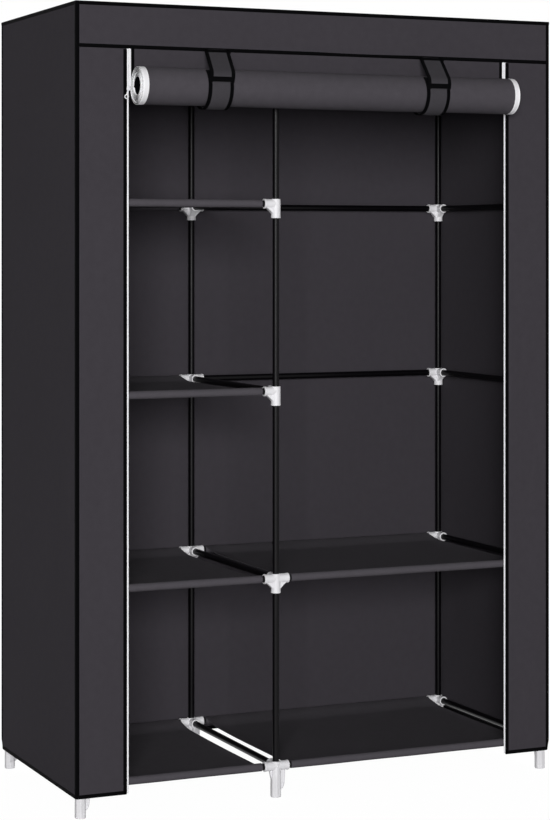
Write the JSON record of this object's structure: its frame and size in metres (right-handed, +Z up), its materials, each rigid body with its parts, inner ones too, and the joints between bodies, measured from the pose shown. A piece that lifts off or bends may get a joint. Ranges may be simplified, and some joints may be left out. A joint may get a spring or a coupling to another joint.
{
  "type": "portable fabric wardrobe",
  "caption": "Free-standing wardrobe: a push-fit steel tube frame with cloth shelves and a hanging rail, under a zipped cloth cover whose front door is rolled up.",
  "frame": {"origin": "on the floor, under the middle of the box round the whole wardrobe", "axes": "+X along the width from the left side to the right side as seen from the front, +Y from the front with the door to the back, +Z up"},
  "size_m": [1.121, 0.595, 1.6793],
  "materials": {
    "post": "black powder coat on the tube sections, with white moulded plastic connectors",
    "tube_black": "black powder coat, satin",
    "shelf_cloth": "dark charcoal non-woven cloth, matt",
    "cover_cloth": "dark charcoal non-woven cloth with black binding, matt",
    "strap_cloth": "dark charcoal non-woven cloth with black binding, matt",
    "zip_tape": "white woven tape with white moulded teeth",
    "zip_metal": "white enamel on die-cast metal"
  },
  "bodies": {
    "frame_and_cover": {"post_front_left": "post", "post_front_middle": "post", "post_front_right": "post", "post_back_left": "post", "post_back_middle": "post", "post_back_right": "post", "rail_back_1": "tube_black", "rail_back_2": "tube_black", "rail_back_3": "tube_black", "rail_back_4": "tube_black", "rail_back_5": "tube_black", "rail_front_left_1": "tube_black", "rail_front_left_2": "tube_black", "rail_front_left_3": "tube_black", "rail_front_left_4": "tube_black", "rail_front_right_1": "tube_black", "rail_front_right_2": "tube_black", "rail_front_5": "tube_black", "rail_side_left_1": "tube_black", "rail_side_left_2": "tube_black", "rail_side_left_3": "tube_black", "rail_side_left_4": "tube_black", "rail_side_left_5": "tube_black", "rail_side_middle_1": "tube_black", "rail_side_middle_2": "tube_black", "rail_side_middle_3": "tube_black", "rail_side_middle_4": "tube_black", "rail_side_middle_5": "tube_black", "rail_side_right_1": "tube_black", "rail_side_right_2": "tube_black", "rail_side_right_3": "tube_black", "rail_side_right_4": "tube_black", "rail_side_right_5": "tube_black", "hanging_rail": "tube_black", "shelf_left_1": "shelf_cloth", "shelf_left_2": "shelf_cloth", "shelf_left_3": "shelf_cloth", "shelf_left_4": "shelf_cloth", "shelf_right_1": "shelf_cloth", "shelf_right_2": "shelf_cloth", "cover_top": "cover_cloth", "cover_back": "cover_cloth", "cover_left": "cover_cloth", "cover_right": "cover_cloth", "cover_header": "cover_cloth", "flap_left": "cover_cloth", "flap_right": "cover_cloth", "zip_left": "zip_tape", "zip_right": "zip_tape", "strap_top_left": "strap_cloth", "strap_top_right": "strap_cloth"},
    "zip_slider_left": {"zip_slider_left": "zip_metal"},
    "zip_slider_right": {"zip_slider_right": "zip_metal"},
    "zip_pull_left": {"zip_pull_left": "zip_metal"},
    "zip_pull_right": {"zip_pull_right": "zip_metal"},
    "strap_tab_left": {"strap_tab_left": "strap_cloth"},
    "strap_tab_right": {"strap_tab_right": "strap_cloth"},
    "strap_loop_left": {"strap_loop_left": "strap_cloth"},
    "strap_loop_right": {"strap_loop_right": "strap_cloth"},
    "door": {"door_roll": "cover_cloth"}
  },
  "joints": [
    {"name": "door_unroll", "type": "slide", "parent": "frame_and_cover", "child": "door", "axis": [0, 0, -1], "range_m": [0, 1.42], "deforming": ["strap_loop_left", "strap_loop_right"]},
    {"name": "zip_slider_left_slide", "type": "slide", "parent": "frame_and_cover", "child": "zip_slider_left", "axis": [0, 0, -1], "range_m": [-0.065, 1.44]},
    {"name": "zip_slider_right_slide", "type": "slide", "parent": "frame_and_cover", "child": "zip_slider_right", "axis": [0, 0, -1], "range_m": [-0.065, 1.44]},
    {"name": "zip_pull_left_swing", "type": "hinge", "parent": "zip_slider_left", "child": "zip_pull_left", "pos_m": [-0.4462, -0.2195, 1.503], "axis": [-1, 0, 0], "range_deg": [0, 160]},
    {"name": "zip_pull_right_swing", "type": "hinge", "parent": "zip_slider_right", "child": "zip_pull_right", "pos_m": [0.4462, -0.2195, 1.503], "axis": [-1, 0, 0], "range_deg": [0, 160]},
    {"name": "strap_tab_left_lift", "type": "hinge", "parent": "frame_and_cover", "child": "strap_tab_left", "pos_m": [-0.249, -0.2174, 1.5885], "axis": [-1, 0, 0], "range_deg": [0, 110]},
    {"name": "strap_tab_right_lift", "type": "hinge", "parent": "frame_and_cover", "child": "strap_tab_right", "pos_m": [0.259, -0.2174, 1.5885], "axis": [-1, 0, 0], "range_deg": [0, 110]},
    {"name": "strap_loop_left_drop", "type": "hinge", "parent": "frame_and_cover", "child": "strap_loop_left", "pos_m": [-0.271, -0.2136, 1.5062], "axis": [1, 0, 0], "range_deg": [0, 120]},
    {"name": "strap_loop_right_drop", "type": "hinge", "parent": "frame_and_cover", "child": "strap_loop_right", "pos_m": [0.237, -0.2136, 1.5062], "axis": [1, 0, 0], "range_deg": [0, 120]}
  ],
  "couplings": [
    {"joint": "strap_loop_left_drop", "follows": "door_unroll", "rad_per_m": 1.47},
    {"joint": "strap_loop_right_drop", "follows": "door_unroll", "rad_per_m": 1.47}
  ]
}
